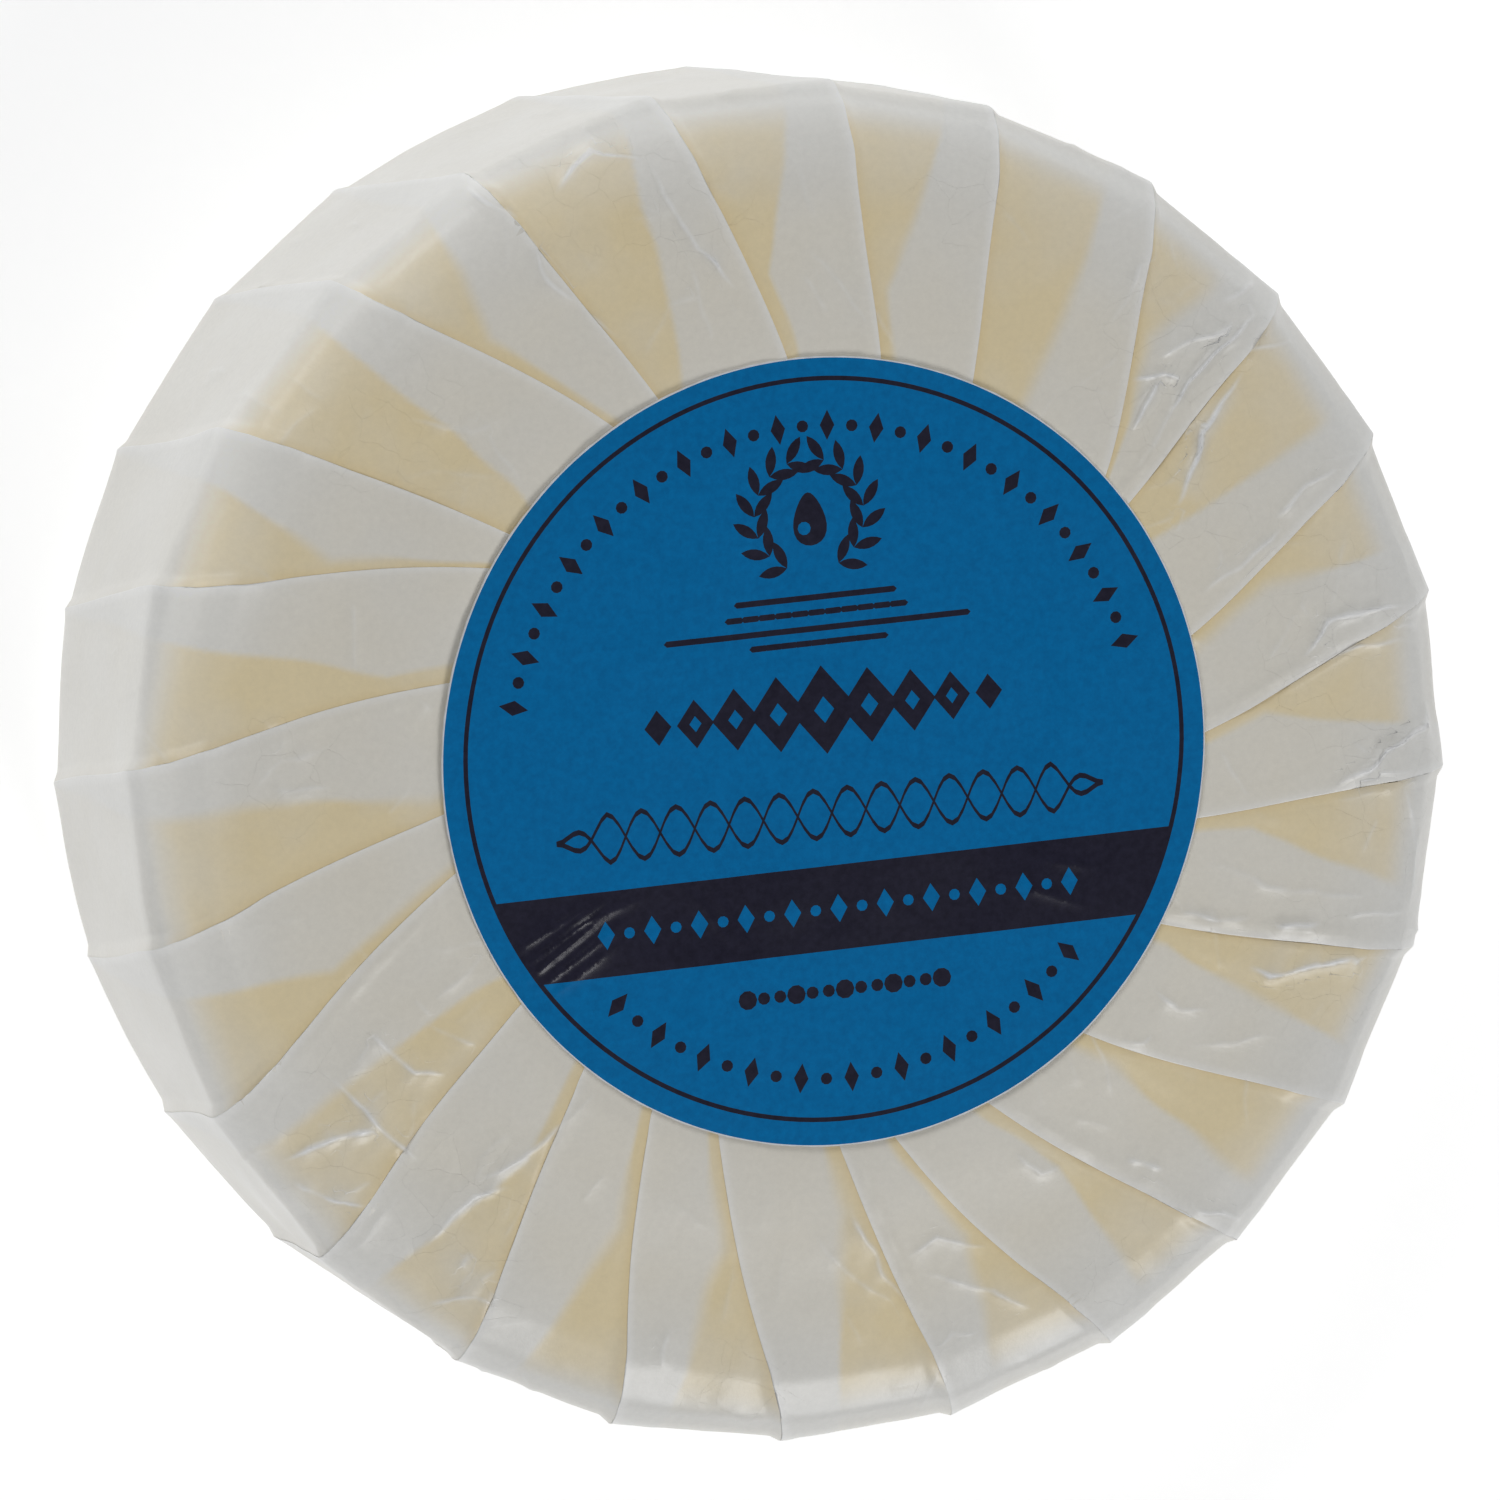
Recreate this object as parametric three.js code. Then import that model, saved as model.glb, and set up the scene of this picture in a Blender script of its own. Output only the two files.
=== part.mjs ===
// A round tablet of shaving soap, wrapped in one pleated sheet of paper that a round label seals.
// Millimetres, +Z up. The origin is the centre of the flat face that the puck stands on.
// The pleated face and its label look up, and the top of the label's print is towards +Y.

import * as THREE from "three";

// Soap tablet
const SOAP_DIAMETER = 75;
const SOAP_THICKNESS = 24.6;
const SOAP_EDGE_RADIUS = 2.8;

// Paper. The sheet is modelled thicker than it is, so that it makes a solid.
const PAPER = 0.25;
const SLACK = 0.15; // room between the soap and the paper
const PLEAT_RISE_AT_RIM = 0.4; // how far a pleat stands out at the top of the wall
const PLEAT_RISE_INSIDE = 0.55; // and under the label, where more layers lie together
const CENTRE_HOLE_RADIUS = 5; // the sheet's edge, gathered under the label

// Pleats. Angles run counter-clockwise from +X, in degrees, one entry for each pleat.
const PLEATS = 24;
const PLEAT_PITCH = 360 / PLEATS;
const FIRST_FOLD = 8; // where the first pleat's fold crosses the rim
const FOLD_SHIFT = [0.4, -0.2, -0.2, -0.8, 0.1, -1, -0.5, 2, 0.8, 1.4, 0.4, 0.6,
  0.9, 0.9, 0.9, 1.2, 0.3, 0.6, 0.6, 0.6, 0.2, -0.3, -0.3, 0.4]; // laid by hand, so none is exact
const FOLD_LEAN = [10, 11, 5, 15, 7, 7, 9, 7, 13, 7, 15, 12,
  8, 13, 6, 7, 8, 12, 8, 14, 14, 11, 7, 7]; // how far it turns clockwise on its way to the label
const LEAN_GROWTH = 1.35; // above 1, a fold starts out radial and then curves
const WALL_LEAN = 5.5; // how far a fold drifts the other way, from the rim down to the base
const FOLD_STEP = 0.3; // the degrees that a fold's step takes up
const NARROWEST_BAND = 0.12; // the three-layer band of a pleat, as a share of the pitch
const WIDEST_BAND = 0.72;
const BAND_END = [0.9, 1.1]; // the drop at the end of the band, as shares of the band's width

// Label
const LABEL_DIAMETER = 44.5;
const LABEL_THICKNESS = 0.2;
const LABEL_CENTRE = [0.9, 0.9]; // stuck on slightly off centre
const LABEL_GAP = 0.05;

// Smoothness of the round pieces
const ROUND_SEGMENTS = 96;
const EDGE_SEGMENTS = 3; // straight pieces in each rounded edge
const WALL_ROWS = 3; // and in the wall between the edges
const FACE_ROWS = 4; // and in the pleated face, out of the label's reach

// Heights and radii that follow from the sizes above
const SOAP_RADIUS = SOAP_DIAMETER / 2;
const SOAP_BASE = PAPER + SLACK;
const SOAP_TOP = SOAP_BASE + SOAP_THICKNESS;
const WRAP_RADIUS = SOAP_RADIUS + SLACK + PAPER;
const WRAP_TOP = SOAP_TOP + SLACK + PAPER;
const WRAP_EDGE_RADIUS = SOAP_EDGE_RADIUS + SLACK + PAPER;
const LABEL_BASE = WRAP_TOP + PLEAT_RISE_INSIDE + LABEL_GAP;
const LABEL_RADIUS = LABEL_DIAMETER / 2;

// A quarter circle of profile points, from one direction to the other, in degrees from outward to up.
function roundedEdge(radius, height, edgeRadius, from, to) {
  const points = [];
  for (let i = 0; i <= EDGE_SEGMENTS; i++) {
    const turn = THREE.MathUtils.degToRad(from + ((to - from) * i) / EDGE_SEGMENTS);
    points.push(new THREE.Vector2(
      radius + edgeRadius * Math.cos(turn),
      height + edgeRadius * Math.sin(turn),
    ));
  }
  return points;
}

// The profile of a round tablet, from the axis at its base to the axis at its top.
function tabletProfile(radius, base, top, edgeRadius) {
  const core = radius - edgeRadius;
  return [
    new THREE.Vector2(0, base),
    ...roundedEdge(core, base + edgeRadius, edgeRadius, -90, 0),
    ...roundedEdge(core, top - edgeRadius, edgeRadius, 0, 90),
    new THREE.Vector2(0, top),
  ];
}

// A lathed solid that stands upright.
function upright(profile, segments) {
  const solid = new THREE.LatheGeometry(profile, segments);
  solid.rotateX(Math.PI / 2);
  return solid;
}

function paint(colour, roughness) {
  return new THREE.MeshStandardMaterial({ color: colour, roughness, metalness: 0 });
}

// ---- Soap tablet ----

function soapPuck() {
  const profile = tabletProfile(SOAP_RADIUS, SOAP_BASE, SOAP_TOP, SOAP_EDGE_RADIUS);
  const soap = new THREE.Mesh(upright(profile, ROUND_SEGMENTS), paint(0xeee0b4, 0.55));
  soap.name = "soap_puck";
  return soap;
}

// ---- Wrapper ----

// One row of the sheet's surface: its radius and height where a single layer lies, which way is out
// of the sheet, how far a pleat rises there, how wide its band is, and how far its fold has turned.
function sheetRow(radius, height, out, rise) {
  const alongWall = THREE.MathUtils.clamp(height / WRAP_TOP, 0, 1);
  const inward = Math.max(0, WRAP_RADIUS - radius);
  const onTop = height > WRAP_TOP / 2;
  const travelled = onTop ? height + inward : height;
  // The sheet was cut flat, so its spare width grows with its path from the base rim.
  const layers = (WRAP_RADIUS + travelled) / Math.max(radius, CENTRE_HOLE_RADIUS);
  const span = WRAP_RADIUS - LABEL_RADIUS;
  return {
    radius,
    height,
    out,
    rise,
    band: (PLEAT_PITCH * (layers - 1)) / 2,
    wallTurn: WALL_LEAN * (1 - alongWall),
    faceTurn: onTop ? Math.min(1, inward / span) ** LEAN_GROWTH : 0,
  };
}

// The outer side of the sheet, from the middle of the base, up the wall and over to the centre hole.
function outerRows() {
  const core = WRAP_RADIUS - WRAP_EDGE_RADIUS;
  const lowCentre = WRAP_EDGE_RADIUS;
  const highCentre = WRAP_TOP - WRAP_EDGE_RADIUS;
  const rows = [sheetRow(0, 0, [0, -1], 0)];
  for (const point of roundedEdge(core, lowCentre, WRAP_EDGE_RADIUS, -90, 0)) {
    const out = [(point.x - core) / WRAP_EDGE_RADIUS, (point.y - lowCentre) / WRAP_EDGE_RADIUS];
    rows.push(sheetRow(point.x, point.y, out, 0));
  }
  for (let i = 1; i < WALL_ROWS; i++) {
    const share = i / WALL_ROWS;
    const height = THREE.MathUtils.lerp(lowCentre, highCentre, share);
    rows.push(sheetRow(WRAP_RADIUS, height, [1, 0], PLEAT_RISE_AT_RIM * share));
  }
  for (const point of roundedEdge(core, highCentre, WRAP_EDGE_RADIUS, 0, 90)) {
    const out = [(point.x - core) / WRAP_EDGE_RADIUS, (point.y - highCentre) / WRAP_EDGE_RADIUS];
    rows.push(sheetRow(point.x, point.y, out, PLEAT_RISE_AT_RIM));
  }
  for (let i = 1; i <= FACE_ROWS; i++) {
    const share = i / FACE_ROWS;
    const radius = THREE.MathUtils.lerp(core, LABEL_RADIUS, share);
    const rise = THREE.MathUtils.lerp(PLEAT_RISE_AT_RIM, PLEAT_RISE_INSIDE, share);
    rows.push(sheetRow(radius, WRAP_TOP, [0, 1], rise));
  }
  rows.push(sheetRow(CENTRE_HOLE_RADIUS, WRAP_TOP, [0, 1], PLEAT_RISE_INSIDE));
  return rows;
}

// The inner side, back from the centre hole to the middle of the base. It has no pleats.
function innerRows() {
  const radius = WRAP_RADIUS - PAPER;
  const edgeRadius = WRAP_EDGE_RADIUS - PAPER;
  const profile = tabletProfile(radius, PAPER, WRAP_TOP - PAPER, edgeRadius).reverse();
  profile[0].x = CENTRE_HOLE_RADIUS;
  return profile.map((point) => sheetRow(point.x, point.y, [0, 0], 0));
}

// Where pleat number `index` folds on a row, in degrees.
function foldAngle(index, row) {
  const turns = Math.floor(index / PLEATS);
  const pleat = index - turns * PLEATS;
  const atRim = FIRST_FOLD + PLEAT_PITCH * pleat + FOLD_SHIFT[pleat];
  return atRim + 360 * turns + row.wallTurn - FOLD_LEAN[pleat] * row.faceTurn;
}

// The columns that cross one pleat on a row, as an angle and a share of the pleat's rise. A fold's
// band of three layers comes first, then the single layer beside it, up to the next fold. Near the
// label the bands overlap, and the single layer lies on the pleat before it.
function pleatColumns(index, row) {
  const fold = foldAngle(index, row);
  const gap = foldAngle(index + 1, row) - fold;
  const band = gap * THREE.MathUtils.clamp(row.band / gap, NARROWEST_BAND, WIDEST_BAND);
  const crowding = THREE.MathUtils.clamp(row.band / gap - WIDEST_BAND, 0, 0.5);
  const [dropStart, dropEnd] = BAND_END.map((share) => fold + band * share);
  const lastAngle = fold + gap - FOLD_STEP;
  return [
    { angle: fold, level: 1 },
    { angle: fold + band / 2, level: 1 },
    { angle: dropStart, level: 1 - crowding / 2 },
    { angle: dropEnd, level: crowding },
    { angle: (dropEnd + lastAngle) / 2, level: crowding },
    { angle: lastAngle, level: crowding },
  ];
}

function wrapper() {
  const rows = [...outerRows(), ...innerRows()];
  const profile = rows.map((row) => new THREE.Vector2(row.radius, row.height));
  const columnsPerPleat = pleatColumns(0, rows[0]).length;
  const columns = PLEATS * columnsPerPleat;
  const sheet = new THREE.LatheGeometry(profile, columns);
  const position = sheet.attributes.position;
  rows.forEach((row, rowIndex) => {
    for (let column = 0; column <= columns; column++) {
      const wrapped = column % columns;
      const pleat = Math.floor(wrapped / columnsPerPleat);
      const { angle, level } = pleatColumns(pleat, row)[wrapped % columnsPerPleat];
      const turn = THREE.MathUtils.degToRad(angle);
      const radius = row.radius + row.out[0] * row.rise * level;
      const height = row.height + row.out[1] * row.rise * level;
      const vertex = column * rows.length + rowIndex;
      position.setXYZ(vertex, radius * Math.cos(turn), radius * Math.sin(turn), height);
    }
  });
  const mesh = new THREE.Mesh(sheet, paint(0xe6e3d8, 0.45));
  mesh.name = "wrapper";
  return mesh;
}

// ---- Label ----

function label() {
  const profile = [
    new THREE.Vector2(0, 0),
    new THREE.Vector2(LABEL_RADIUS, 0),
    new THREE.Vector2(LABEL_RADIUS, LABEL_THICKNESS),
    new THREE.Vector2(0, LABEL_THICKNESS),
  ];
  const disc = new THREE.Mesh(upright(profile, ROUND_SEGMENTS), paint(0x04629a, 0.4));
  disc.position.set(...LABEL_CENTRE, LABEL_BASE);
  disc.name = "label";
  return disc;
}

const group = new THREE.Group();
group.add(soapPuck(), wrapper(), label());

export default group;
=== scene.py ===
"""A wrapped puck of shaving soap: the tablet, its pleated paper and its round label.

Lengths are in millimetres while a shape is worked out, and a mesh is made in metres from them.
Angles on the puck run counter-clockwise from +X, seen from above.
"""

import math

import bmesh
import bpy
import numpy as np
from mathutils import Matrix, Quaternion, Vector
from mathutils.geometry import delaunay_2d_cdt


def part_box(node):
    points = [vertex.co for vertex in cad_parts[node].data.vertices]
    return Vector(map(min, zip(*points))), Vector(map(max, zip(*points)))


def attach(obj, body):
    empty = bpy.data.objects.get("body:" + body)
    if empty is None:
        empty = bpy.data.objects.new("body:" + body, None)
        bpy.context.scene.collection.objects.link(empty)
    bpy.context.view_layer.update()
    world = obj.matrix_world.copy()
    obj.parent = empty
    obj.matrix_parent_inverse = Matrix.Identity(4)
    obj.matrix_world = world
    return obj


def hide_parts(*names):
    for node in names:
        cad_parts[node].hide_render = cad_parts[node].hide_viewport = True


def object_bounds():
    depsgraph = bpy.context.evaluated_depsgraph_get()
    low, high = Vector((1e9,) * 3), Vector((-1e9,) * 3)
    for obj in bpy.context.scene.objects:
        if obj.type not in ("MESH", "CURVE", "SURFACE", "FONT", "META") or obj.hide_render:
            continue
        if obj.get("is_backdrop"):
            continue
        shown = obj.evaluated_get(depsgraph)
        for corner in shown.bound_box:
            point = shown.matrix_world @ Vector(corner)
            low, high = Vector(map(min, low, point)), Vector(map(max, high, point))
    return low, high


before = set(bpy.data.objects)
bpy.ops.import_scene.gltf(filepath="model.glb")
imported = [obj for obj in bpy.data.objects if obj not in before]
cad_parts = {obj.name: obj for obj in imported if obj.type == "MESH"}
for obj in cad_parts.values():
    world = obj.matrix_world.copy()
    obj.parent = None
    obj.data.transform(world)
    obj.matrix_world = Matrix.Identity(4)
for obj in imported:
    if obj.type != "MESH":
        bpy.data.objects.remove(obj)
cad_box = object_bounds()

MM = 0.001  # metres in a millimetre


def node_size(node):
    """The middle, the radius and the lowest and highest z of a round CAD node, in millimetres."""
    low, high = (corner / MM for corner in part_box(node))
    return (low + high) / 2, (high.x - low.x) / 2, low.z, high.z


_, SOAP_RADIUS, SOAP_LOW, SOAP_TOP = node_size("soap_puck")
LABEL_CENTRE, LABEL_RADIUS, LABEL_LOW, LABEL_TOP = node_size("label")


# ---- Camera ----

CAMERA_TILT = math.radians(17.1)  # away from straight above
CAMERA_HEADING = math.radians(154.1)  # the side of the puck that it leans to
CAMERA_ROLL = math.radians(-5.4)
CAMERA_DISTANCE = 560.0
CAMERA_ASIDE = (-3.4, 1.1)  # to its own right and up
CAMERA_LENS = 240.0
LOOKED_AT = Vector((0, 0, 25.6))


def add_camera():
    data = bpy.data.cameras.new("camera")
    data.lens = CAMERA_LENS
    data.clip_start, data.clip_end = 0.05, 5
    camera = bpy.data.objects.new("camera", data)
    bpy.context.scene.collection.objects.link(camera)
    lean = math.sin(CAMERA_TILT)
    back = Vector((
        lean * math.cos(CAMERA_HEADING),
        lean * math.sin(CAMERA_HEADING),
        math.cos(CAMERA_TILT),
    ))
    turn = Vector((0, 0, 1)).rotation_difference(back) @ Quaternion((0, 0, 1), CAMERA_ROLL)
    aside = turn @ Vector((*CAMERA_ASIDE, 0))
    camera.rotation_mode = "QUATERNION"
    camera.rotation_quaternion = turn
    camera.location = (LOOKED_AT + back * CAMERA_DISTANCE + aside) * MM
    bpy.context.scene.camera = camera


# ---- Light and floor ----

def add_softbox(name, heading, elevation, distance, size, power, colour):
    """A square light that looks at the puck. The angles are in degrees."""
    data = bpy.data.lights.new(name, "AREA")
    data.shape = "SQUARE"
    data.size = size
    data.energy = power
    data.color = colour
    light = bpy.data.objects.new(name, data)
    bpy.context.scene.collection.objects.link(light)
    across, up = math.radians(heading), math.radians(elevation)
    away = Vector((math.cos(across) * math.cos(up), math.sin(across) * math.cos(up), math.sin(up)))
    light.location = away * distance
    light.rotation_mode = "QUATERNION"
    light.rotation_quaternion = away.to_track_quat("Z", "Y")


def add_light():
    world = bpy.data.worlds.new("studio")
    world.use_nodes = True
    sky = world.node_tree.nodes["Background"]
    sky.inputs["Color"].default_value = (0.97, 0.98, 1.0, 1)
    sky.inputs["Strength"].default_value = 0.21
    bpy.context.scene.world = world
    add_softbox("window", -68, 40, 0.7, 0.28, 1.77, (1.0, 1.0, 1.0))
    add_softbox("left_fill", 122, 40, 0.8, 0.35, 1.75, (0.98, 0.99, 1.0))
    add_softbox("right_fill", 45, 16, 0.9, 0.4, 0.75, (1.0, 1.0, 1.0))
    bpy.context.scene.view_settings.view_transform = "Standard"


def add_floor():
    reach = 0.8
    mesh = bpy.data.meshes.new("floor")
    mesh.from_pydata([(-reach, -reach, 0), (reach, -reach, 0), (reach, reach, 0), (-reach, reach, 0)],
                     [], [(0, 1, 2, 3)])
    floor = bpy.data.objects.new("floor", mesh)
    bpy.context.scene.collection.objects.link(floor)
    material, shader, _ = new_material("floor")
    shader.inputs["Base Color"].default_value = (0.8, 0.8, 0.8, 1)
    shader.inputs["Roughness"].default_value = 0.9
    shader.inputs["Emission Color"].default_value = (1, 1, 1, 1)
    shader.inputs["Emission Strength"].default_value = 0.55
    mesh.materials.append(material)
    floor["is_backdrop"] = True


# ---- Materials ----

class Nodes:
    """Adds shader nodes to a material and joins them, one short call for each."""

    def __init__(self, tree):
        self.tree = tree

    def add(self, kind, settings=None, **inputs):
        node = self.tree.nodes.new(kind)
        for key, value in (settings or {}).items():
            setattr(node, key, value)
        for key, value in inputs.items():
            self.set(node, key.replace("_", " "), value)
        return node

    def set(self, node, key, value):
        socket = node.inputs[int(key)] if str(key).isdigit() else node.inputs[key]
        if isinstance(value, bpy.types.NodeSocket):
            self.tree.links.new(value, socket)
        else:
            socket.default_value = value

    def attribute(self, name):
        return self.add("ShaderNodeAttribute", {"attribute_name": name}).outputs["Fac"]

    def place(self, per_metre=1.0):
        """The point's place on the object, times a scale."""
        place = self.add("ShaderNodeTexCoord").outputs["Object"]
        scaled = self.add("ShaderNodeVectorMath", {"operation": "SCALE"})
        self.set(scaled, 0, place)
        self.set(scaled, "Scale", per_metre)
        return scaled.outputs[0]

    def noise(self, where, scale, detail=2.0, roughness=0.5):
        return self.add("ShaderNodeTexNoise", Vector=where, Scale=scale, Detail=detail,
                        Roughness=roughness).outputs["Fac"]

    def remap(self, value, low, high, to_low, to_high):
        node = self.add("ShaderNodeMapRange", {"clamp": True})
        for key, number in (("From Min", low), ("From Max", high), ("To Min", to_low), ("To Max", to_high)):
            self.set(node, key, number)
        self.set(node, "Value", value)
        return node.outputs["Result"]

    def math(self, operation, a, b=0.0):
        node = self.add("ShaderNodeMath", {"operation": operation})
        self.set(node, 0, a)
        self.set(node, 1, b)
        return node.outputs[0]

    def mix(self, share, a, b, blend="MIX"):
        node = self.add("ShaderNodeMix", {"data_type": "RGBA", "blend_type": blend})
        for index, value in ((0, share), (6, a), (7, b)):
            self.set(node, str(index), value)
        return node.outputs[2]

    def vector(self, operation, a, b, output="Vector"):
        node = self.add("ShaderNodeVectorMath", {"operation": operation})
        self.set(node, 0, a)
        self.set(node, 1, b)
        return node.outputs[output]

    def tilted_cells(self, where, scale, stray):
        """Flat facets like those of crumpled paper: cells with ragged edges, each tilted its own
        way. The result is a height, in the units of the place."""
        wobble = self.add("ShaderNodeTexNoise", Vector=where, Scale=scale, Detail=2.0).outputs["Color"]
        wobble = self.vector("MULTIPLY", self.vector("SUBTRACT", wobble, (0.5, 0.5, 0.5)), (stray,) * 3)
        strayed = self.vector("ADD", where, wobble)
        cells = self.add("ShaderNodeTexVoronoi", Vector=strayed, Scale=scale)
        tilt = self.vector("SUBTRACT", cells.outputs["Color"], (0.5, 0.5, 0.5))
        offset = self.vector("SUBTRACT", strayed, cells.outputs["Position"])
        return self.vector("DOT_PRODUCT", offset, tilt, "Value")

    def bump(self, height, distance, strength=1.0, normal=None):
        node = self.add("ShaderNodeBump", Height=height, Distance=distance, Strength=strength)
        if normal is not None:
            self.set(node, "Normal", normal)
        return node.outputs["Normal"]


def new_material(name):
    """A material with its shader, and a helper that adds nodes to it."""
    material = bpy.data.materials.new(name)
    material.use_nodes = True
    shader = material.node_tree.nodes["Principled BSDF"]
    return material, shader, Nodes(material.node_tree)


WHITE_PAPER = (0.785, 0.78, 0.75, 1)
CREAM_PAPER = (0.83, 0.705, 0.45, 1)
# PAINTED_SHADE_CREAM is painted shade: the deep cream put in the crevice beside each fold
PAINTED_SHADE_CREAM = (0.74, 0.56, 0.27, 1)


def paper_material():
    """Thin white paper with a soft gloss. The soap's cream shows where one layer touches it."""
    material, shader, n = new_material("wrapping_paper")
    place = n.place(1000)
    cloud = n.noise(place, 0.16, 3.0)
    fibre = n.noise(place, 2.6, 4.0, 0.7)
    show = n.math("MULTIPLY", n.attribute("soap_shows"), n.remap(cloud, 0.3, 0.7, 0.76, 1.14))
    colour = n.mix(show, WHITE_PAPER, CREAM_PAPER)
    # Painted shade: deep cream mixed in beside each fold, where in_shade is high
    colour = n.mix(n.attribute("in_shade"), colour, PAINTED_SHADE_CREAM)
    # A sharp ridge along each crease, and a painted highlight: the colour whitened along each crease's ridge
    # and each folded edge
    beside = n.math("ABSOLUTE", n.attribute("crease_aside"))
    ridge = n.math("MULTIPLY", n.remap(beside, 0.0, CREASE_LINE, 1.0, 0.0), n.attribute("crease_height"))
    painted_highlight = n.math("MAXIMUM", n.attribute("folded_edge_highlight"), n.math("MULTIPLY", ridge, 8.0))
    colour = n.mix(n.math("MULTIPLY", painted_highlight, 0.6), colour, (0.93, 0.93, 0.92, 1))
    mottle_and_backlight = n.remap(fibre, 0.25, 0.75, 0.955, 1.03)
    # Painted light: the base colour brightened where light would come through the paper from behind
    # (backlit)
    mottle_and_backlight = n.math("ADD", mottle_and_backlight, n.math("MULTIPLY", n.attribute("backlit"), 0.2))
    shade = n.add("ShaderNodeCombineColor", Red=mottle_and_backlight, Green=mottle_and_backlight, Blue=mottle_and_backlight).outputs[0]
    n.set(shader, "Base Color", n.mix(1.0, colour, shade, "MULTIPLY"))
    n.set(shader, "Roughness", n.remap(cloud, 0.3, 0.7, 0.33, 0.42))
    n.set(shader, "Specular IOR Level", 0.55)
    grain = n.bump(n.noise(place, 3.0, 4.0, 0.65), 0.014 * MM)
    facet = n.math("MULTIPLY", n.tilted_cells(place, 0.42, 1.1), n.attribute("crumpled"))
    folded = n.bump(ridge, 0.33 * MM, 1.0, grain)
    n.set(shader, "Normal", n.bump(facet, 0.22 * MM, 1.0, folded))
    return material


def print_material(name, colour, dark, roughness, specular):
    """Printed sticker stock, with a slightly mottled ink."""
    material, shader, n = new_material(name)
    place = n.place(1000)
    speck = n.noise(place, 2.2, 3.0, 0.65)
    cloud = n.noise(place, 0.12, 2.0)
    n.set(shader, "Base Color", n.mix(n.remap(speck, 0.3, 0.7, 0.0, 1.0), dark, colour))
    n.set(shader, "Roughness", n.remap(cloud, 0.3, 0.7, roughness - 0.05, roughness + 0.06))
    n.set(shader, "Specular IOR Level", specular)
    n.set(shader, "Normal", n.bump(n.noise(place, 1.6, 3.0, 0.6), 0.012 * MM))
    return material


def soap_material():
    """Smooth milled soap: cream, waxy and faintly marbled."""
    material, shader, n = new_material("soap")
    place = n.place(1000)
    marble = n.noise(place, 0.05, 4.0, 0.6)
    n.set(shader, "Base Color", n.mix(n.remap(marble, 0.35, 0.65, 0.0, 1.0),
                                      (0.84, 0.72, 0.45, 1), (0.88, 0.79, 0.54, 1)))
    n.set(shader, "Roughness", n.remap(n.noise(place, 0.6, 3.0), 0.3, 0.7, 0.42, 0.6))
    n.set(shader, "Subsurface Weight", 0.25)
    n.set(shader, "Subsurface Radius", (0.004, 0.003, 0.0015))
    n.set(shader, "Subsurface Scale", 1.0)
    n.set(shader, "Normal", n.bump(n.noise(place, 0.9, 4.0, 0.6), 0.03 * MM))
    return material


# ---- Shape tools ----

def smooth(start, end, x):
    """0 before start, 1 after end and smooth between them."""
    t = np.clip((x - start) / (end - start), 0, 1)
    return t * t * (3 - 2 * t)


def ripple(points, wavelength, seed):
    """A gentle random wave through space, mostly between -1 and 1."""
    draw = np.random.default_rng(seed)
    waves = 16
    total = np.zeros(points.shape[:-1])
    for _ in range(waves):
        direction = draw.normal(size=3)
        direction /= np.linalg.norm(direction)
        length = wavelength * draw.uniform(0.7, 1.6)
        total += np.sin(points @ direction * (2 * np.pi / length) + draw.uniform(0, 2 * np.pi))
    return total / math.sqrt(waves)


def facets(points, size, seed):
    """Flat facets that meet in sharp creases, mostly between -1 and 1."""
    draw = np.random.default_rng(seed)
    folds = 6
    total = np.zeros(points.shape[:-1])
    for _ in range(folds):
        direction = draw.normal(size=3)
        direction /= np.linalg.norm(direction) * size * draw.uniform(0.7, 1.5)
        total += 4 * np.abs((points @ direction + draw.uniform()) % 1 - 0.5) - 1
    return total / math.sqrt(folds)


def new_piece(name, points, faces, slot, *nodes):
    """A mesh object from points in millimetres, which stands for CAD nodes."""
    mesh = bpy.data.meshes.new(name)
    mesh.from_pydata([tuple(p) for p in np.asarray(points) * MM], [], faces)
    mesh.validate()
    piece = bpy.data.objects.new(name, mesh)
    bpy.context.scene.collection.objects.link(piece)
    mesh.polygons.foreach_set("use_smooth", [True] * len(mesh.polygons))
    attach(piece, "root")
    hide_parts(*nodes)
    return piece


def filled(outline, spacing):
    """Fills a round outline with an even mesh. Returns points in the plane and triangles."""
    reach = np.abs(outline).max()
    step = np.arange(-reach, reach, spacing)
    x, y = np.meshgrid(step, step * math.sqrt(3) / 2)
    x = x + np.where(np.arange(len(step)) % 2, spacing / 2, 0)[:, None]
    inside = np.hypot(x, y) < np.hypot(*outline.T).min() - spacing * 0.7
    points = np.concatenate([outline, np.stack([x[inside], y[inside]], 1)])
    made = delaunay_2d_cdt([Vector(p) for p in points], [], [list(range(len(outline)))], 1, 1e-7)
    return np.array([tuple(p) for p in made[0]]), made[2]


# ---- Wrapper ----

PLEATS = 24
PITCH = 360 / PLEATS
FIRST_FOLD = 8.0
# Each pleat is listed: how far its fold strays at the rim, and how far it turns clockwise
# on its way to the label.
FOLD_SHIFT = np.array([0.4, -0.2, -0.2, -0.8, 0.1, -1, -0.5, 2, 0.8, 1.4, 0.4, 0.6,
                       0.9, 0.9, 0.9, 1.2, 0.3, 0.6, 0.6, 0.6, 0.2, -0.3, -0.3, 0.4])
FOLD_LEAN = np.array([10, 11, 5, 15, 7, 7, 9, 7, 13, 7, 15, 12,
                      8, 13, 6, 7, 8, 12, 8, 14, 14, 11, 7, 7])
LEAN_GROWTH = 1.35
WALL_LEAN = 5.5
# Pleats whose edge stands off the paper below it, and by how much.
GAPING = {0: 0.14, 2: 0.13, 7: 0.12, 9: 0.08, 15: 0.04, 20: 0.08, 22: 0.12}
# Pleats with a crumpled roll just inside their edge, and its height.
ROLLED = {0: 0.16, 2: 0.22, 5: 0.10, 11: 0.10, 13: 0.12, 18: 0.14, 20: 0.12, 22: 0.30}

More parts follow.
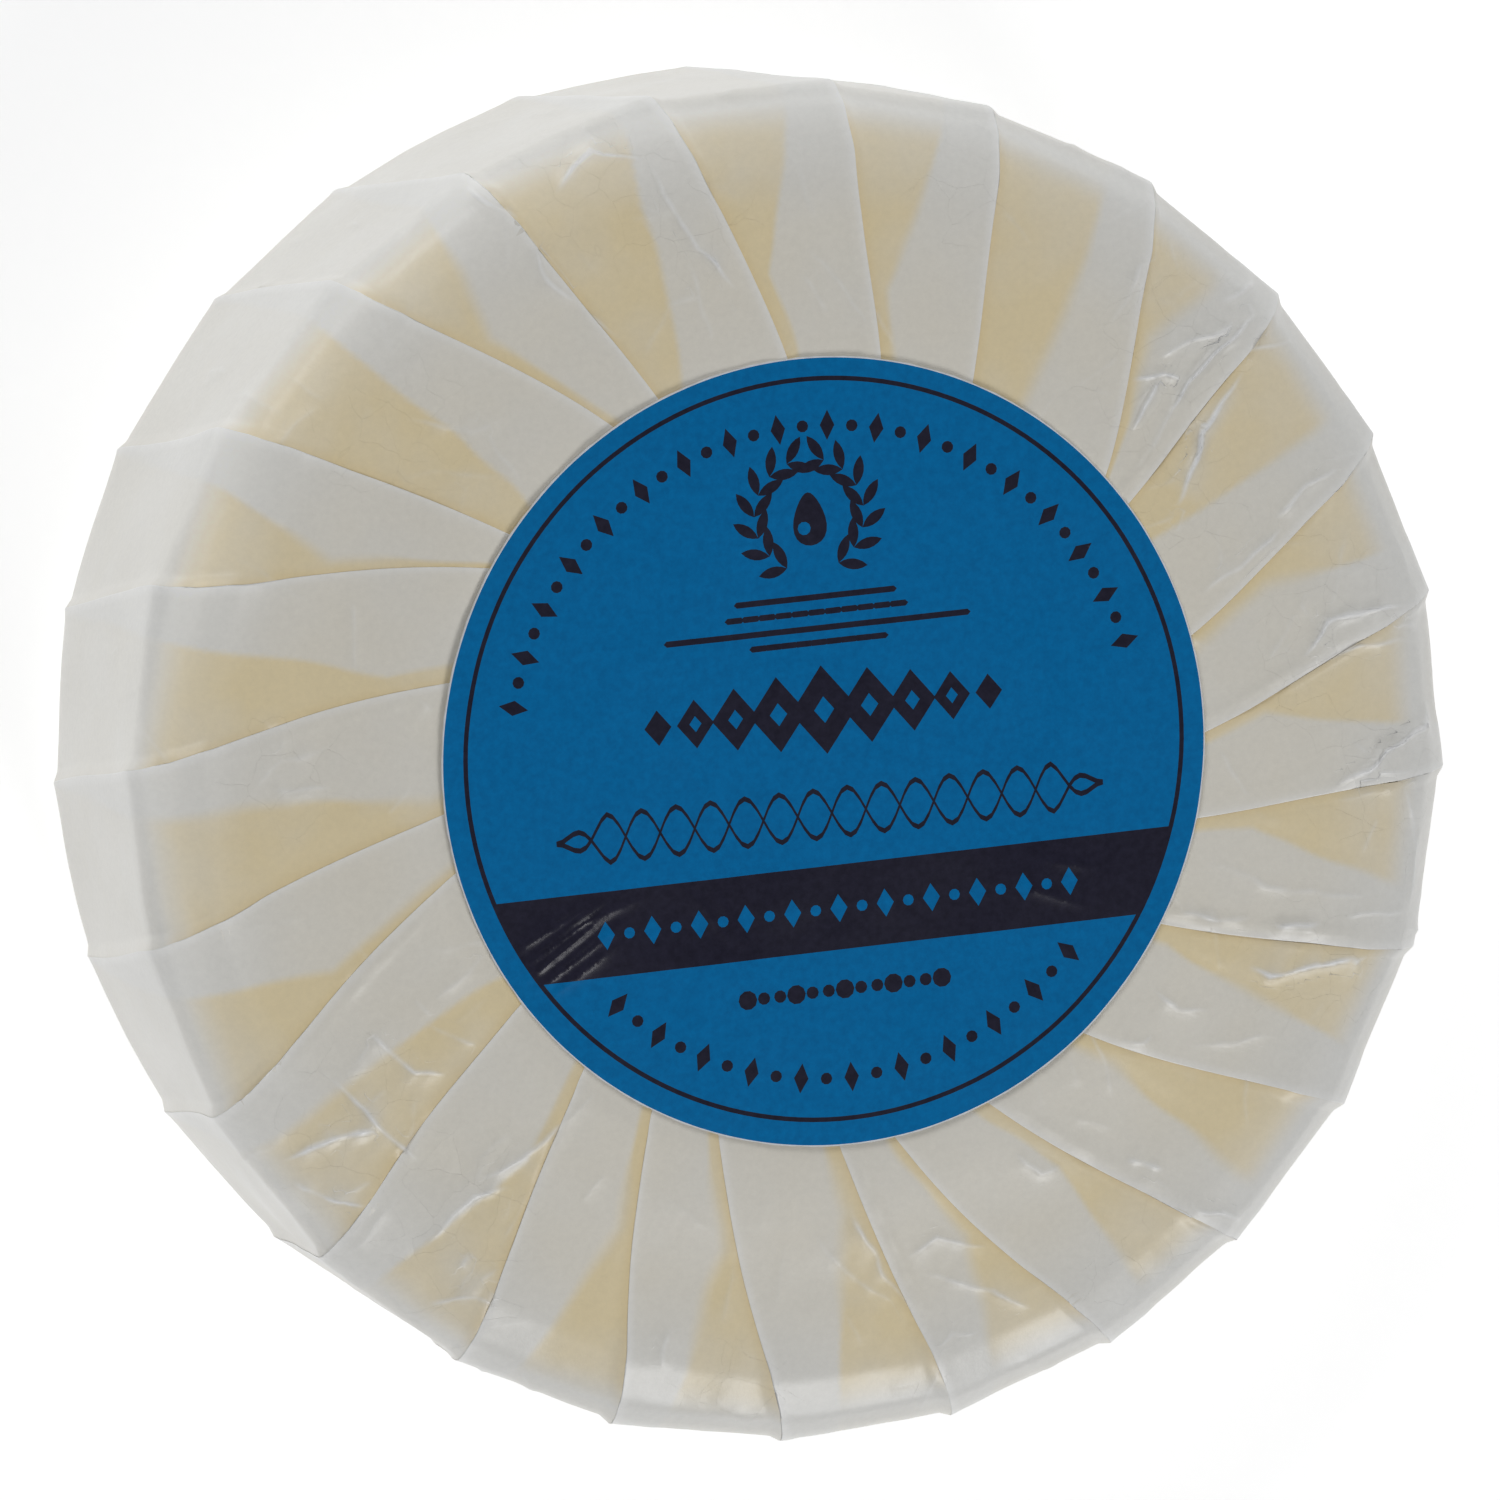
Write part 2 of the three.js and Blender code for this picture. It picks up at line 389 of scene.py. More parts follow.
PAPER_GAP = 0.12  # between the soap and the paper, over the two faces
SIDE_GAP = 0.55  # the same round the side, where the paper is slacker
SHEET_RADIUS = SOAP_RADIUS + SIDE_GAP
SHEET_LOW = 0.06  # the sheet under the base, just off the floor
SHEET_TOP = SOAP_TOP + PAPER_GAP
CORNER = 3.3  # the rounding at the base
HOLE_RADIUS = 5.0  # the sheet's edge, under the label
LAYER = 0.025  # the paper with the air under it
CLEARANCE = 0.035  # kept between a panel and the layers hidden under it
STEP = 0.07  # how much higher a pleat is than the single layer beside it
FACET = 0.27  # how far the folds stand out past the middle of a taut panel, round the side
SHINGLE = 0.75  # the share of that by which a folded edge stands out past the end it covers
PILE = 0.58  # more and more layers toward the label

TIGHT_SIDE = 160  # the side, in degrees, where the soap touches the paper nearest to its edge
# SLACK_SIDE aims the painted light that brightens the rim as if from behind the paper
SLACK_SIDE = 125  # the side where most light gets behind the paper at the edge

CORNER_RUN = CORNER * math.pi / 2  # along the paper, over either edge of the soap
BASE_END = SHEET_RADIUS - CORNER
WALL_START = BASE_END + CORNER_RUN

# Creases pressed into the paper: a height, then the corners of each as (angle, distance from the
# axis). A distance past the rim goes down the wall. Not an example to follow: most of these places
# are the rounded output of another program, and a loop should draw them.
CREASES = [
    # The right side
    (0.30, (-9, 30.5), (-7, 33), (-5, 34.5), (-3, 37), (0, 37.5)), (0.20, (-8, 32), (-7, 34.5), (-7, 37)),
    (0.28, (6, 29.5), (10, 31.5), (10, 34), (9, 36.5)), (0.22, (5, 30), (6, 33), (6, 36.5)),
    (0.16, (7, 35), (7, 37)), (0.16, (-8, 35.5), (-13, 37), (-19, 37)),
    (0.10, (-20, 23.5), (-20, 29.5), (-18, 35)), (0.30, (-29, 28.5), (-29, 30), (-26, 32.5), (-24, 35)),
    (0.14, (-38, 24), (-38, 26), (-36, 28)), (0.16, (-55, 29.5), (-52, 31.5)),
    (0.18, (-53, 34), (-51, 35.5), (-50, 37)), (0.16, (-27, 23), (-26, 25.5), (-24, 28)),
    (0.20, (-24, 29), (-22, 32)), (0.20, (-21, 33), (-20, 35), (-19, 37)),
    (0.12, (-47, 24), (-45, 25.5), (-43, 25.5)), (0.12, (-66, 25), (-64, 27), (-61, 27.5)),
    # The upper right, the most crumpled
    (0.16, (50, 30), (50, 32), (51, 34.5)), (0.25, (44, 28.5), (42, 30), (39, 31)),
    (0.22, (40, 26.5), (42, 30)), (0.22, (44, 30.5), (41, 35)),
    (0.28, (42, 36.5), (40, 36), (40, 33), (38, 28)), (0.20, (38, 34), (35, 37)),
    (0.30, (30, 25.5), (34, 30), (36, 34)), (0.14, (43, 35), (42, 36.5), (41, 38)),
    (0.20, (21, 30.5), (23, 33), (23, 35.5)), (0.16, (17, 24.5), (18, 27.5), (20, 31)),
    (0.10, (23, 38), (24, 34)), (0.08, (77, 26), (74, 24)),
    # The top
    (0.22, (110, 35.5), (105, 37), (101, 35.5)), (0.20, (101, 35.5), (100, 33), (98, 30), (94, 27)),
    (0.16, (114, 35), (114, 31.5), (110, 26.5)), (0.20, (116, 38), (116, 37), (114, 35)),
    (0.08, (109, 25), (103, 27.5), (97, 27)), (0.08, (135, 31), (131, 27.5), (127, 26.5)),
    (0.06, (140, 29), (135, 27), (132, 24.5)),
    # The left side
    (0.14, (176, 32), (173, 30.5), (171, 27.5)), (0.10, (176, 31), (176, 27.5)),
    (0.08, (180, 24.5), (176, 23)), (0.08, (-158, 26), (-154, 25.5)),
    (0.20, (-155, 32.5), (-149, 31.5), (-141, 31)), (0.18, (-156, 29), (-149, 28), (-146, 26.5)),
    (0.24, (-148, 37), (-144, 36), (-142, 35)), (0.24, (-150, 37), (-149, 34), (-146, 31)),
    # The bottom
    (0.24, (-135, 34.5), (-135, 30.5), (-132, 28.5)), (0.14, (-136, 30), (-133, 27), (-131, 23.5)),
    (0.20, (-131, 36.5), (-129, 35), (-126, 34)), (0.14, (-89, 24.5), (-86, 28.5), (-83, 32.5)),
    (0.08, (-94, 26), (-89, 29), (-84, 32)), (0.16, (-83, 28.5), (-79, 28), (-74, 29.5)),
    (0.14, (-82, 29.5), (-75, 32), (-71, 34)), (0.14, (-82, 34.5), (-80, 33.5), (-77, 34)),
]
LOOSE_CREASES = 260  # small ones, scattered
CREASE_STEEP = 0.24  # how fast a crease falls on its steep side, and on the other
CREASE_GENTLE = 1.1
CREASE_LINE = 0.2  # half as wide as the sharp ridge along it
CRUMPLE_CREASES = 5  # in each crumpled patch
# Crumpled patches: angle, distance from the axis, size and height.
CRUMPLES = [
    (41, 29.5, 3.0, 0.15), (45, 34.5, 2.2, 0.08), (30, 27.0, 2.6, 0.10), (13, 33.0, 2.6, 0.08),
    (5, 29.5, 2.4, 0.12), (-8, 34.5, 2.8, 0.10), (-26, 33.5, 3.2, 0.07), (-60, 35.5, 3.0, 0.05),
    (-100, 36.0, 2.5, 0.07), (-131, 35.2, 2.6, 0.15), (-135, 30.5, 2.4, 0.12), (-146, 36.0, 3.0, 0.12),
    (-152, 31.0, 2.4, 0.08), (174, 30.0, 2.6, 0.08), (136, 31.0, 3.0, 0.06), (106, 36.0, 3.4, 0.10),
    (98, 31.5, 2.6, 0.08), (70, 34.0, 2.4, 0.06),
]


def upper_bends(share):
    """How far, in degrees, the paper has turned over the upper edge of the soap. It doesn't follow
    the round edge: it is pulled straight across, in three sharp bends."""
    return 46 * smooth(0, 0.28, share) + 25 * smooth(0.42, 0.54, share) + 19 * smooth(0.86, 1, share)


UPPER_HEADING = np.radians(90 + upper_bends(np.linspace(0, 1, 500)))
WALL_HEIGHT = SHEET_TOP - SHEET_LOW - CORNER - CORNER_RUN * np.sin(UPPER_HEADING).mean()
FACE_RADIUS = SHEET_RADIUS + CORNER_RUN * np.cos(UPPER_HEADING).mean()
WALL_END = WALL_START + WALL_HEIGHT
FACE_START = WALL_END + CORNER_RUN
SHEET_END = FACE_START + FACE_RADIUS - HOLE_RADIUS


def sheet_profile(along):
    """Where the sheet touches the soap, `along` millimetres from the middle of the base: its
    distance from the axis, its height, and the way out of it as (outward, upward)."""
    fine = np.linspace(0, SHEET_END + 2, 6000)
    turned = 90 * np.clip((fine - BASE_END) / CORNER_RUN, 0, 1) + upper_bends((fine - WALL_END) / CORNER_RUN)
    heading = np.radians(turned)  # 0 is outward, 90 is upward
    radius = np.cumsum(np.cos(heading)) * fine[1]
    height = SHEET_LOW + np.cumsum(np.sin(heading)) * fine[1]
    return [np.interp(along, fine, values) for values in (radius, height, np.sin(heading), -np.cos(heading))]


def sheet_rows():
    """The rows of the sheet's mesh, closest together where the sheet shows most."""
    under_label = FACE_START + FACE_RADIUS - LABEL_RADIUS + 1.5
    return np.concatenate([
        np.linspace(BASE_END, WALL_START, 7)[:-1],
        np.linspace(WALL_START, WALL_END, 20)[:-1],
        np.linspace(WALL_END, FACE_START, 17)[:-1],
        np.linspace(FACE_START, under_label, 50)[:-1],
        np.linspace(under_label, SHEET_END, 5),
    ])


def fold_angles(along):
    """The angle of each pleat's folded edge on each row, and of the first one a turn later."""
    radius, height, _, _ = sheet_profile(along)
    down = 1 - np.clip((height - SHEET_LOW) / (SHEET_TOP - SHEET_LOW), 0, 1)
    inward = np.clip((SHEET_RADIUS - radius) / (SHEET_RADIUS - LABEL_RADIUS), 0, 1.2)
    inward = np.where(along > WALL_END, inward, 0)
    rim = FIRST_FOLD + PITCH * np.arange(PLEATS) + FOLD_SHIFT
    sway = 0.2 * np.sin(along[:, None] * 0.22 + 2.4 * np.arange(PLEATS))
    sway = sway * smooth(0, 6, along - BASE_END)[:, None]
    angles = rim + WALL_LEAN * down[:, None] - FOLD_LEAN * inward[:, None] ** LEAN_GROWTH + sway
    return np.concatenate([angles, angles[:, :1] + 360], axis=1)


def unrolled(angle, path, radius, at_angle, at_path):
    """How far each point of the sheet is from a place on it, across and outward, as on a flat
    sheet. path grows outward from the axis over the face and on down the wall."""
    turn = (angle - at_angle + 180) % 360 - 180
    return np.radians(turn) * np.minimum(radius, at_path), path - at_path


def all_creases():
    """Every crease in the sheet: the marked ones, small loose ones and those of the crumples."""
    draw = np.random.default_rng(11)
    creases = list(CREASES)

    def add_straight(angle, near, heading, length, height):
        sideways = math.degrees(length * math.sin(heading) / min(near, SHEET_RADIUS))
        creases.append((height, (angle, near), (angle - sideways, near - length * math.cos(heading))))

    for _ in range(LOOSE_CREASES):
        angle, near = draw.uniform(0, 360), draw.uniform(LABEL_RADIUS + 1, SHEET_RADIUS + WALL_HEIGHT)
        add_straight(angle, near, draw.normal(0, 0.7), draw.uniform(1.5, 6.0), draw.uniform(0.02, 0.09))
    for angle, near, size, height in CRUMPLES:
        for _ in range(CRUMPLE_CREASES):
            turn, out = draw.normal(0, 0.5 * size, 2)
            add_straight(angle + math.degrees(turn / near), near + out, draw.uniform(-1.6, 1.6),
                         draw.uniform(1.2, 3.6), height * draw.uniform(0.3, 0.9))
    return creases


def beside_line(angle, path, radius, stray, corners):
    """How far each point of the sheet is from a jagged line, less than 0 on one side of it, and
    how far along the line it is, from 0 to 1."""
    lengths, found = [], []
    for (start, near), (end, far) in zip(corners, corners[1:]):
        across, outward = unrolled(angle, path, radius, start, near)
        across, outward = across + stray[0], outward + stray[1]
        step = np.array([math.radians(end - start) * min((near + far) / 2, SHEET_RADIUS), far - near])
        length = np.linalg.norm(step)
        step /= length
        along = np.clip(across * step[0] + outward * step[1], 0, length)
        away = np.hypot(across - along * step[0], outward - along * step[1])
        side = np.sign(across * step[1] - outward * step[0])
        found.append((away, side, along + sum(lengths)))
        lengths.append(length)
    away, side, along = found[0]
    for other in found[1:]:
        nearer = other[0] < away
        away, side, along = [np.where(nearer, b, a) for a, b in zip((away, side, along), other)]
    return away * side, along / sum(lengths)


def crease_lines(angle, path, radius, points):
    """How far the creases lift each point of the sheet, and for the sharp ridge along the nearest
    one how far aside the point is and how high the ridge is there. A crease falls away more gently
    on one side than on the other, and its line is a little jagged."""
    stray = (0.12 * facets(points, 2.4, 5) + 0.25 * ripple(points, 7, 6), 0.15 * facets(points, 3.0, 8))
    frayed = np.clip(0.8 + 0.4 * facets(points, 1.7, 9), 0.25, 1.4)
    raised, nearest, ridge = np.zeros_like(angle), np.ones_like(angle), np.zeros_like(angle)
    for number, (height, *corners) in enumerate(all_creases()):
        aside, share = beside_line(angle, path, radius, stray, corners)
        aside = aside if number % 2 else -aside
        ends = smooth(0, 0.25, share) * smooth(0, 0.25, 1 - share) * frayed
        gentle = np.exp(-np.where(aside > 0, aside / CREASE_GENTLE, -aside / CREASE_STEEP))
        raised += height * ends * (0.9 * np.exp(-np.abs(aside) / CREASE_STEEP) + 0.6 * gentle)
        there = max(height - 0.04, 0) * ends * (1 - smooth(0.35, 0.8, np.abs(aside)))
        nearest = np.where(there > ridge, aside, nearest)
        ridge = np.maximum(ridge, there)
    return raised, nearest, ridge


def crumpled(angle, path, radius):
    """How crumpled the paper is at each point, from 0 to about 1."""
    patch = np.zeros_like(angle)
    for at_angle, at_path, size, height in CRUMPLES:
        across, outward = unrolled(angle, path, radius, at_angle, at_path)
        patch += height / 0.2 * np.exp(-(across ** 2 + outward ** 2) / size ** 2)
    return patch


PANEL_COLUMNS = 35  # across the part of a pleat that shows
EDGE_GAP = 0.012  # left between a panel's last column and the next folded edge
CRISP = (0.06, 0.07)  # how near the next columns are to the two edges, which keeps them crisp
LEAST_STRIDE = 0.03  # between two columns on the flat sheet
HIDDEN_CREAM = 0.15  # how much of the soap's colour shows on the layers inside a pleat


def of_next(values):
    """The same values for the next pleat round the sheet."""
    return np.roll(values, -1, axis=1)


def for_pleats(marked):
    """A column with one value for each pleat, 0 for a pleat that isn't marked."""
    return np.array([marked.get(number, 0.0) for number in range(PLEATS)])[:, None]


class Pleats:
    """The pleated part of the sheet, as arrays over its rows, its pleats and the columns across one
    pleat. x is how far a column is from its pleat's folded edge.

    A pleat starts at its folded edge. Its panel shows as far as the next edge, runs on under it to
    a hidden fold, and comes back as the middle layer to that next edge."""

    def __init__(self):
        along = sheet_rows()
        self.path = along[:, None, None]
        self.radius = sheet_profile(along)[0][:, None, None]
        self.inward = SHEET_RADIUS - self.radius
        self.degree = np.radians(1) * self.radius  # millimetres in a degree
        self.number = np.arange(PLEATS)[:, None]
        self.folds = fold_angles(along)
        self.fold, self.next_fold = self.folds[:, :-1, None], self.folds[:, 1:, None]
        self.gap = (self.next_fold - self.fold) * self.degree
        self.started = smooth(0, 3.5, self.path - BASE_END)  # the pleats begin at the edge of the base
        self.on_face = smooth(-1.5, 2.5, self.path - FACE_START)
        self.layer = LAYER * self.started

        # The band where three layers lie, and how far its edge stands off or rolls up
        spare = np.maximum(PITCH * (self.path / self.radius - 1) / 2, 0)
        band = spare * (1 + 0.10 * np.sin(3.7 * self.number + 1.0)) * self.degree
        self.band = np.minimum(band, 0.86 * self.gap)
        lift = for_pleats(GAPING) * smooth(2, 8, self.inward) * (1 - smooth(11.5, 14.2, self.inward))
        self.lift = lift * self.on_face
        lumps = 0.35 * np.sin(1.9 * self.path + self.number) * np.sin(1.1 * self.path + 2 * self.number)
        self.roll = for_pleats(ROLLED) * smooth(0, 3, self.inward) * self.on_face * (0.65 + lumps)

    def top_of(self, x):
        """The height of a pleat's panel."""
        share = np.clip(x / self.gap, 0, 1)
        past_band = x - self.band
        belly = np.clip(past_band / np.maximum(self.gap - self.band, 0.1), 0, 1)
        bottom = LAYER / 2 + PILE * smooth(8, 15, self.inward) * self.on_face
        step = STEP * self.started * (1 + 0.25 * np.sin(2.1 * self.number))
        step = step * (0.55 * (1 - smooth(-0.5, 0.6, past_band)) + 0.45 * (1 - share))
        near_rim = smooth(-6, 0, self.path - WALL_END)
        facet = FACET * self.started * (1 - self.on_face) * (0.75 + 0.25 * near_rim)
        taut = facet * ((2 * share - 1) ** 2 + SHINGLE * (0.5 - share))
        gaping = self.lift * np.clip(1 - x / np.maximum(self.band, 1), 0, 1)
        edge = self.started * 0.02 * np.exp(-x / 0.4) + gaping
        air = 0.05 * self.started * self.on_face * np.sin(np.pi * belly) ** 2
        roll = self.roll * np.exp(-((x - 0.75) / 0.35) ** 2)
        return bottom + LAYER + step + taut + edge + air + roll

    def panel(self):
        """The x and the height of each column of the part that shows. Near the next edge it closes
        up to the layers above it."""
        x = np.linspace(0, 1, PANEL_COLUMNS) * (self.gap - EDGE_GAP)
        x[..., 1], x[..., -2] = CRISP[0], self.gap[..., 0] - CRISP[1]
        height = self.top_of(x)
        closed = 1 - np.clip(4 * of_next(self.lift), 0, 1)
        met = of_next(self.top_of(0 * self.band)) - 1.4 * self.layer
        return x, height + closed * smooth(-0.7, 0, x - self.gap) * np.maximum(met - height, 0)

    def hidden_layers(self, panel_end):
        """The angle and the height of each column under the next folded edge: in to the hidden
        fold, round it and back out to that edge."""
        next_band = of_next(self.band)
        under, middle = [], []
        for share in (0.0, 0.5, 0.97):
            angle = self.next_fold + share * next_band / self.degree
            above = of_next(self.top_of(share * self.band)) - CLEARANCE * min(1, 4 * share)
            under.append((angle, np.minimum(panel_end, above - 2 * self.layer)))
            middle.append((angle, above - self.layer))
        half = self.layer / 2
        inner_fold = (self.next_fold + (next_band + half) / self.degree, (under[-1][1] + middle[-1][1]) / 2)
        edge_fold = (self.next_fold - half / self.degree, middle[0][1] + half)
        return under[1:] + [inner_fold] + middle[::-1] + [edge_fold]

    def flat_places(self, angle):
        """Where each point lies on the flat sheet before it is folded."""
        stride = np.abs(np.diff(angle, axis=2)) * self.degree + LEAST_STRIDE
        run = np.concatenate([np.zeros_like(self.fold), np.cumsum(stride, axis=2)], axis=2)
        turned = np.diff(self.folds[0])[:, None] * run / (run[..., -1:] + LEAST_STRIDE)
        turn = np.radians(self.folds[0, :-1, None] + turned)
        return np.stack([self.path * np.cos(turn), self.path * np.sin(turn)], axis=-1)

    def wander(self, angle):
        """How far the bends over the edge of the soap stray from pleat to pleat."""
        across = (angle - self.fold) / (self.next_fold - self.fold) - 0.5
        stray = 0.22 * np.sin(5.3 * self.number) + 0.5 * np.sin(2.9 * self.number + 1) * across
        return stray * smooth(-3, 0, self.path - WALL_END) * (1 - smooth(0, 3, self.path - FACE_START))

    def looks(self, x, bare, detail):
        """What the paper's material reads on the part that shows: how much of the soap's colour
        comes through, the painted shade beside a fold, the painted highlight on a folded edge
        and the painted light from behind."""
        angle = self.fold + x / self.degree
        tight = self.inward - 0.25 + 0.95 * np.cos(np.radians(angle - TIGHT_SIDE))
        touching = (0.75 * smooth(0.4, 2.6, tight) + 0.25 * smooth(2, 7, tight)) * (self.path > WALL_END)
        side = 0.10 * self.started * (1 - smooth(0, 3, self.path - WALL_END))
        contact = np.maximum(touching, side) / (1 + (detail / 0.34) ** 2)
        through = 0.09 + 0.16 * smooth(2, 9, self.inward)  # as much as three layers let through
        blur = 0.2 + 0.5 * smooth(-0.3, 1.2, ripple(bare, 14, 17))  # where the layers lie less close
        past_band = x - self.band + 0.1 * ripple(bare, 5, 19)
        cream = contact * (through + (1 - through) * smooth(-1, 1, past_band / blur))
        # Painted shade in the crevice under the next folded edge, where the soap's colour shows
        shade = 0.4 * np.exp(-(self.gap - x) / 0.3) * contact * (x > self.band)
        # Painted light from behind: the rim's paper made brighter, most towards SLACK_SIDE
        rim = 1.7 - 0.7 * smooth(0.5, 2.5, self.inward) - smooth(1, 5.5, self.inward)
        behind = smooth(0, 1.8, self.path - WALL_END) * rim
        return {
            "soap_shows": cream,
            "in_shade": shade,
            # Painted highlight along each folded edge
            "folded_edge_highlight": self.started * np.exp(-x / 0.22),
            "backlit": behind * (0.5 + 0.5 * np.cos(np.radians(angle - SLACK_SIDE))) ** 2,
        }


def held_down(detail, x):
    """The creases, held down where the layers meet at a folded edge and left out under it."""
    most = np.zeros_like(detail)
    most[..., :PANEL_COLUMNS] = LAYER + 0.3 * x
    most[..., PANEL_COLUMNS - 1] = LAYER
    most[..., -2:] = LAYER
    return np.minimum(detail, most)


def pressed_flat(lifted, radius, path):
    """The heights after the label has pressed the pleats down."""
    room = LABEL_LOW - SHEET_TOP - 0.18
    pressed = (1 - smooth(LABEL_RADIUS - 0.6, LABEL_RADIUS + 3.5, radius)) * (path > WALL_END)
    most = room + 3 * (1 - pressed)
    over = np.maximum(lifted / most - 0.6, 0)
    return np.where(over > 0, most * (0.6 + 0.4 * np.tanh(over / 0.4)), lifted)


def sheet_grid():
    """Every point of the pleated part, where it lies on the flat sheet, and the values that the
    paper's material reads there."""
    pleats = Pleats()
    x, panel = pleats.panel()
    hidden = pleats.hidden_layers(panel[..., -1:])
    angle = np.concatenate([pleats.fold + x / pleats.degree] + [a for a, _ in hidden], axis=2)
    lifted = np.concatenate([panel] + [height + 0 * pleats.fold for _, height in hidden], axis=2)
    path, turn = pleats.path, np.radians(angle)
    radius, height, out, up = sheet_profile(path + pleats.wander(angle))
    bare = np.stack([radius * np.cos(turn), radius * np.sin(turn), height], axis=-1)

    # Soft waves, the pressed creases and the crumpled patches
    outward = np.where(path > FACE_START, radius, FACE_RADIUS + FACE_START - path)
    waves = 0.05 * (ripple(bare, 9, 3) + 1)
    detail, crease_aside, crease_height = crease_lines(angle, outward, radius, bare)
    crumple = crumpled(angle, outward, radius)
    detail = detail + (0.012 + 0.07 * crumple) * np.maximum(facets(bare, 3.2, 7) + 1.0, 0)
    lifted = pressed_flat(lifted + pleats.started * (waves + held_down(detail, x)), radius, path)
    reach = radius + out * lifted
    points = np.stack([reach * np.cos(turn), reach * np.sin(turn), height + up * lifted], axis=-1)

    is_panel = np.arange(angle.shape[2]) < PANEL_COLUMNS
    fields = {
        "crumpled": is_panel * np.minimum(crumple, 1),
        "crease_aside": crease_aside,
        "crease_height": is_panel * pleats.started * crease_height,
    }
    looks = pleats.looks(x, bare[..., :PANEL_COLUMNS, :], detail[..., :PANEL_COLUMNS])
    for name, shown in looks.items():
        fields[name] = np.full_like(angle, HIDDEN_CREAM if name == "soap_shows" else 0.0)
        fields[name][..., :PANEL_COLUMNS] = shown
    # The last column is the folded edge itself, with no soap colour and the full painted highlight
    fields["soap_shows"][..., -1] = 0
    fields["folded_edge_highlight"][..., -1] = 1
    return points, pleats.flat_places(angle), fields


def wrapper():
    points, flat, fields = sheet_grid()
    rows, across = points.shape[0], points.shape[1] * points.shape[2]
    points, flat = points.reshape(rows * across, 3), flat.reshape(rows * across, 2)
    index = np.arange(rows * across).reshape(rows, across)
    right = np.roll(index, -1, axis=1)
    faces = np.stack([index[:-1], right[:-1], right[1:], index[1:]], axis=-1).reshape(-1, 4).tolist()

    # The base is one plain layer that lies on the soap
    rim = np.arange(across).reshape(PLEATS, -1)[:, :PANEL_COLUMNS - 1].ravel()
    base, base_faces = filled(points[rim, :2], 1.6)
    depth = smooth(0, 6, BASE_END - np.hypot(*base.T))
    at = np.column_stack([base, np.zeros(len(base))])
    faces += [[len(points) + v for v in reversed(face)] for face in base_faces]
    at[:, 2] = SHEET_LOW + np.maximum(0.03 * depth * ripple(at, 11, 21), -0.04)
    points = np.concatenate([points, at])
    flat = np.concatenate([flat, base])
    touching = np.clip(0.55 + 0.3 * ripple(at, 14, 23), 0.1, 0.9) * (0.25 + 0.75 * depth)

    sheet = new_piece("pleated_wrapper", points, faces, "wrapping_paper", "wrapper")
    mesh = sheet.data
    base_fields = {"soap_shows": touching, "crumpled": np.full(len(base), 0.25)}
    for name, values in fields.items():
        over_base = base_fields.get(name, np.zeros(len(base)))
        whole = np.concatenate([values.ravel(), over_base]).astype(np.float32)
        mesh.attributes.new(name, "FLOAT", "POINT").data.foreach_set("value", whole)
    corner_vertex = np.zeros(len(mesh.loops), np.int32)
    mesh.loops.foreach_get("vertex_index", corner_vertex)
    on_sheet = 0.5 + flat[corner_vertex] / (2.04 * SHEET_END)
    mesh.uv_layers.new(name="OFBake").data.foreach_set("uv", on_sheet.astype(np.float32).ravel())
    join_doubles(mesh, 0.0005 * MM)
    mesh.materials.append(paper_material())
    return sheet


def join_doubles(mesh, distance):
    work = bmesh.new()
    work.from_mesh(mesh)
    bmesh.ops.remove_doubles(work, verts=work.verts, dist=distance)
    work.to_mesh(mesh)
    work.free()


# ---- Soap tablet ----

def soap():
    """A pressed tablet with soft edges and a faint line round its side where the die closed."""
    around, edge_steps = 256, 10
    edge = 3.6
    turns = np.linspace(0, math.pi / 2, edge_steps)
    side = np.linspace(SOAP_LOW + edge, SOAP_TOP - edge, 19)
    seam = 0.05 * np.exp(-((side - (SOAP_LOW + SOAP_TOP) / 2) / 0.5) ** 2)
    radius = np.concatenate([
        [0.01, 12, 24, 31],
        SOAP_RADIUS - edge + edge * np.sin(turns),
        SOAP_RADIUS - 0.05 + seam[1:-1],
        SOAP_RADIUS - edge + edge * np.cos(turns),
        [31, 24, 12, 0.01],
    ])
    height = np.concatenate([
        [SOAP_LOW] * 4,
        SOAP_LOW + edge - edge * np.cos(turns),
        side[1:-1],
        SOAP_TOP - edge + edge * np.sin(turns),
        [SOAP_TOP] * 4,
    ])
    turn = np.linspace(0, 2 * np.pi, around, endpoint=False)
    points = np.stack([
        radius[:, None] * np.cos(turn),
        radius[:, None] * np.sin(turn),
        height[:, None] + 0 * turn,
    ], axis=-1)
    dent = 0.02 * (ripple(points, 12, 31) - 1)
    points[..., :2] *= 1 + (dent / SOAP_RADIUS)[..., None]
    index = np.arange(points.shape[0] * around).reshape(-1, around)
    right = np.roll(index, -1, axis=1)
    faces = np.stack([index[:-1], right[:-1], right[1:], index[1:]], axis=-1).reshape(-1, 4).tolist()
    faces += [index[0, ::-1].tolist(), index[-1].tolist()]
    tablet = new_piece("soap_tablet", points.reshape(-1, 3), faces, "soap", "soap_puck")
    tablet.data.materials.append(soap_material())
    return tablet


# ---- Label ----

# Places on the label are from its middle, with y towards the top of its print.
RING_RADIUS = 21.0
RING_WIDTH = 0.26
RING_RISE = 0.15  # how far above the middle the ring is printed
BAND_TOP = -6.5
BAND_BOTTOM = -11.3
BAND_PITCH = 1.36  # of the pattern in the dark band
BORDER_RADIUS = 18.4
WREATH_RADIUS = 3.2
WREATH_HEIGHT = 13.4  # the wreath's middle above the label's
DASH_ROWS = [(8.8, 4.2), (7.95, 4.8), (7.05, 8.4), (6.25, 3.5)]  # height and half the length
FRIEZE_HEIGHT = 2.45
FRIEZE_PITCH = 2.75
WAVE_HEIGHT = -3.4
BEAD_HEIGHT = -13.4
CUT_EDGE = 0.08  # the bare paper round the print
LABEL_BEND = 0.05  # how much it follows the pleats under it
WRINKLE_WIDTH = 0.3
